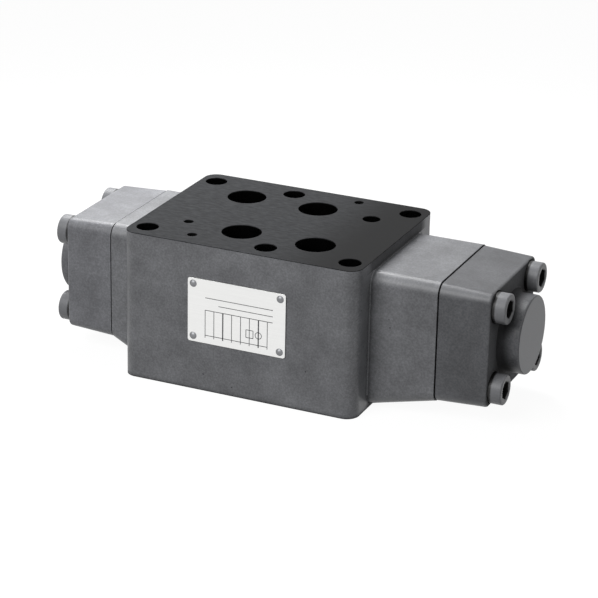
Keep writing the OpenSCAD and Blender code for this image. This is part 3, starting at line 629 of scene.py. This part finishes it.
# one screw as rows of a turned profile: its radius is round, or the hexagon's, half its width / cos(angle from
# its flat); on the thread the radius falls by depth * (1 + cos(turn - angle)) / 2, fading out at both ends
def screwRows(look):
    angle = np.linspace(0, 2 * np.pi, look["columns"], endpoint=False)
    quarter = np.linspace(0, np.pi / 2, look["roundRows"])
    threadStart = look["tipBevel"] - look["length"]
    threadEnd = look["threadLength"] - look["length"]
    threadRows = int(look["threadLength"] / look["pitch"] * look["rowsPerTurn"])
    thread = np.linspace(threadStart, threadEnd, threadRows)
    neck, top, edge = look["neckRound"], look["headHeight"], look["headRound"]
    floorAt = top - look["socketDepth"]
    parts = [  # along the axis, radius, share of hexagon
        ([-look["length"], -look["length"]], [0, look["shank"] - look["tipBevel"]], 0),
        (thread, np.full(threadRows, look["shank"]), 0),
        (neck * np.sin(quarter) - neck, look["shank"] + neck * (1 - np.cos(quarter)), 0),
        ([0, look["bearingBevel"]], [look["bearing"], look["head"]], 0),
        ([look["sunk"], look["sunk"] + look["shadeRise"]], [look["head"], look["head"]], 0),
        (top - edge + edge * np.sin(quarter), look["head"] - edge + edge * np.cos(quarter), 0),
        ([top], [look["socketMouth"]], 0),
        ([top - look["mouthDepth"], floorAt], [look["socket"], look["socket"]], 1),
        ([floorAt, floorAt - look["drillPoint"]], [look["socket"] * look["drillShare"], 0], 0),
    ]
    along = np.concatenate([np.asarray(part[0], float) for part in parts])[:, None]
    radius = np.concatenate([np.asarray(part[1], float) for part in parts])[:, None]
    hexagon = np.concatenate([np.full(len(part[0]), part[2], float) for part in parts])[:, None]
    flatAngle = (angle % (np.pi / 3)) - np.pi / 6
    radius = radius * (1 - hexagon) + hexagon * radius / np.cos(flatAngle)
    inThread = np.zeros_like(along)
    row = np.arange(threadRows)
    firstRow = len(parts[0][0])
    inThread[firstRow:firstRow + threadRows, 0] = np.clip(np.minimum(row, row[::-1]) / look["fadeRows"], 0, 1)
    wave = (1 + np.cos(2 * np.pi * along / look["pitch"] - angle)) / 2
    radius = radius - inThread * look["threadDepth"] * wave
    return np.stack([np.broadcast_to(along, radius.shape), radius * np.sin(angle), radius * np.cos(angle)], -1)


def coverScrews(name, sideSign, look):
    rows = screwRows(look)
    places = np.array([(sideSign * look["seat"], across, look["axisHeight"] + high)
                       for across in (-look["acrossHalf"], look["acrossHalf"])
                       for high in (-look["upHalf"], look["upHalf"])])
    points = rows[None] * np.array([sideSign, 1, 1]) + places[:, None, None, :]
    quads = gridQuads(rows.shape[0], rows.shape[1], False, True)
    quads = quads[None] + (np.arange(len(places)) * rows.shape[0] * rows.shape[1])[:, None, None]
    piece = meshPiece(name, points.reshape(-1, 3) * mm, quads.reshape(-1, 4), finishes["screw"])
    # the attribute holds painted shade: 1 in the hexagon sockets and at the foot of the heads, less on the faces
    spots = np.empty(len(piece.data.vertices) * 3, np.float32)
    piece.data.vertices.foreach_get("co", spots)
    spots = spots.reshape(-1, 3) / mm
    reach = np.hypot(np.abs(spots[:, 1]) - look["acrossHalf"],
                     np.abs(spots[:, 2] - look["axisHeight"]) - look["upHalf"])
    height = spots[:, 0] * sideSign - look["seat"]
    inSocket = (reach < look["socketMouth"] - look["slack"]) & (height > look["offShank"])
    atFoot = (reach > look["shank"] + look["offShank"]) & (height < look["sunk"] + look["slack"])
    onFace = height > look["headHeight"] - look["slack"]
    dark = np.where(inSocket | atFoot, 1, np.where(onFace, look["faceShade"], 0))
    piece.data.attributes.new("paintedShade", "FLOAT", "POINT").data.foreach_set("value", dark.astype(np.float32))
    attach(piece, "housing")
    return piece


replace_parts(coverScrews("left_cover_cap_screws", -1, capScrew), "left_cover_screws")
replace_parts(coverScrews("right_cover_cap_screws", 1, capScrew), "right_cover_screws")
print("cap screws: 8")

# closing springs behind the poppets, round wire on a helix with closed end turns
closingSpring = {"start": 85.3, "end": 141.2, "coil": 10.25, "wire": 1.25, "turns": 8, "axisHeight": 48.5,
                 "stepsPerTurn": 32, "wireSides": 14, "restsAt": 142.5, "keep": 0.863}


# helix: the wire's middle turns about the axis while it moves along, by one wire a turn at both ends and
# evenly between; round each point lies a circle across the wire, drawn in at both ends to close them
def springCoil(name, sideSign, look):
    steps = look["turns"] * look["stepsPerTurn"] + 1
    turn = np.linspace(0, look["turns"], steps)
    closed = 2 * look["wire"]
    lead = (look["end"] - look["start"] - 2 * closed) / (look["turns"] - 2)
    along = look["start"] + np.minimum(turn, 1) * closed + np.clip(turn - 1, 0, look["turns"] - 2) * lead
    along = along + np.maximum(turn - look["turns"] + 1, 0) * closed
    angle = 2 * np.pi * turn
    order = np.concatenate([[0], np.arange(steps), [steps - 1]])
    swell = np.ones(steps + 2)
    swell[[0, -1]] = 0
    wireAngle = np.linspace(0, 2 * np.pi, look["wireSides"], endpoint=False)
    reach = look["coil"] + look["wire"] * swell[:, None] * np.cos(wireAngle)
    points = np.empty((steps + 2, look["wireSides"], 3))
    points[..., 0] = sideSign * (along[order][:, None] + look["wire"] * swell[:, None] * np.sin(wireAngle))
    points[..., 1] = reach * np.cos(angle[order])[:, None]
    points[..., 2] = look["axisHeight"] + reach * np.sin(angle[order])[:, None]
    piece = meshPiece(name, points.reshape(-1, 3) * mm, gridQuads(steps + 2, look["wireSides"], False, True),
                      finishes["wire"])
    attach(piece, "housing")
    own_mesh(piece)
    return piece


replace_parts(springCoil("left_closing_spring", -1, closingSpring), "left_spring")
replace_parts(springCoil("right_closing_spring", 1, closingSpring), "right_spring")
print("closing springs: 2")

# stage: a pale floor that keeps the shadow, its half width in metres
floorLook = {"half": 4.0, "below": 0.2, "glow": 0.94, "shadowShare": "#626262"}
white = (1.0, 1.0, 1.0, 1.0)


# 1 for what the camera sees, also in gloss and through glass, and 0 for all other light
def seenShare(tree):
    path = addNode(tree, "ShaderNodeLightPath").outputs
    seen = addNode(tree, "ShaderNodeMath", {0: path["Is Camera Ray"], 1: path["Is Glossy Ray"]},
                   operation="MAXIMUM")
    seen = addNode(tree, "ShaderNodeMath", {0: seen.outputs[0], 1: path["Is Transmission Ray"]},
                   operation="MAXIMUM")
    return seen.outputs[0]


# white paper with a faint shadow where it is seen from above, and clear from below and for all other light
def paleFloor(name, look):
    material, tree = emptyMaterial(name)
    below = addNode(tree, "ShaderNodeNewGeometry").outputs["Backfacing"]
    shown = addNode(tree, "ShaderNodeMath", {0: seenShare(tree), 1: below}, operation="SUBTRACT",
                    use_clamp=True)
    shadow = addNode(tree, "ShaderNodeBsdfDiffuse", {"Color": linearColour(look["shadowShare"])})
    glow = addNode(tree, "ShaderNodeEmission", {"Color": white, "Strength": look["glow"]})
    paper = addNode(tree, "ShaderNodeAddShader", {0: shadow.outputs[0], 1: glow.outputs[0]})
    clear = addNode(tree, "ShaderNodeBsdfTransparent")
    both = addNode(tree, "ShaderNodeMixShader",
                   {0: shown.outputs[0], 1: clear.outputs[0], 2: paper.outputs[0]})
    addNode(tree, "ShaderNodeOutputMaterial", {"Surface": both.outputs[0]})
    return material


floorLine = np.linspace(-floorLook["half"], floorLook["half"], 3)
floorPoints = np.stack(np.meshgrid(floorLine, floorLine, [-floorLook["below"] * mm], indexing="ij"), -1)
floor = meshPiece("paleFloor", floorPoints.reshape(-1, 3), gridQuads(3, 3), paleFloor("palePaper", floorLook))
floor.data.flip_normals()  # its upper side is the front

# air: plain white where it is seen, and a weaker even light on the valve
airLook = {"ambient": 0.14, "seen": 1.0}
world = bpy.data.worlds.new("studioAir")
world.use_nodes = True
airTree = world.node_tree
airTree.nodes.clear()
airLight = addNode(airTree, "ShaderNodeBackground", {"Color": white, "Strength": airLook["ambient"]})
airWhite = addNode(airTree, "ShaderNodeBackground", {"Color": white, "Strength": airLook["seen"]})
airMix = addNode(airTree, "ShaderNodeMixShader",
                 {0: seenShare(airTree), 1: airLight.outputs[0], 2: airWhite.outputs[0]})
addNode(airTree, "ShaderNodeOutputWorld", {"Surface": airMix.outputs[0]})
scene.world = world

# lamps: place and aim in millimetres, width and height of the soft box, watts
lamps = {
    "softBoxBack": {"place": (-140, 200, 540), "aim": (60, -20, 80), "size": (150, 330), "watts": 2.0},
    "softBoxLeft": {"place": (-265, 170, 330), "aim": (-100, 0, 80), "size": (220, 160), "watts": 0.86},
    "softBoxFront": {"place": (-330, -1050, 900), "aim": (0, 0, 40), "size": (1000, 700), "watts": 11.5},
    "softBoxRight": {"place": (900, 100, 450), "aim": (60, 0, 50), "size": (500, 400), "watts": 1.0},
}
for lampName, lamp in lamps.items():
    lampData = bpy.data.lights.new(lampName, "AREA")
    lampData.shape = "RECTANGLE"
    lampData.size, lampData.size_y = [size * mm for size in lamp["size"]]
    lampData.energy = lamp["watts"]
    lampObject = bpy.data.objects.new(lampName, lampData)
    lampAxis = np.array(lamp["place"], float) - np.array(lamp["aim"], float)
    lampAxis /= np.linalg.norm(lampAxis)
    lampSide = np.cross((0, 0, 1), lampAxis)
    lampSide /= np.linalg.norm(lampSide)
    lampObject.matrix_world = turnAndPlace(lampSide, np.cross(lampAxis, lampSide), lampAxis, lamp["place"])
    scene.collection.objects.link(lampObject)
print("lamps set:", len(lamps))
